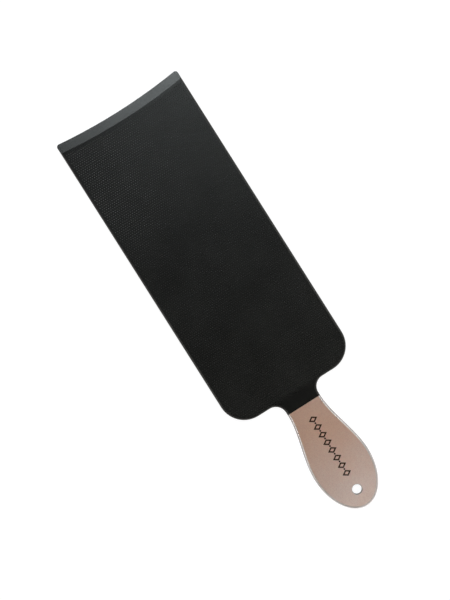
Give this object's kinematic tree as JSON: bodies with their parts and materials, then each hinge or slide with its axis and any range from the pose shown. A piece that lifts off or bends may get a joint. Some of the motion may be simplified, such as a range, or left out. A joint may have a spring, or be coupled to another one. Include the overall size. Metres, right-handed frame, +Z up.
{
  "type": "hair colouring board",
  "caption": "Long flat blade with a fine grip texture and a thin hollow lip, on a short flared handle; it backs a strand of hair while colour is painted on.",
  "frame": {"origin": "under the middle of the board, on the plane that its flat back rests on", "axes": "+X across the board, +Y along it towards the lip, +Z up out of the textured face"},
  "size_m": [0.1, 0.33, 0.004],
  "materials": {
    "black_plastic": "moulded black, fine raised grip texture on the front, satin lip and neck",
    "rose_gold": "moulded plastic with a satin rose gold metallised coat"
  },
  "bodies": {
    "root": {"board": "black_plastic", "handle_front_shell": "rose_gold", "handle_back_shell": "rose_gold"}
  },
  "joints": []
}
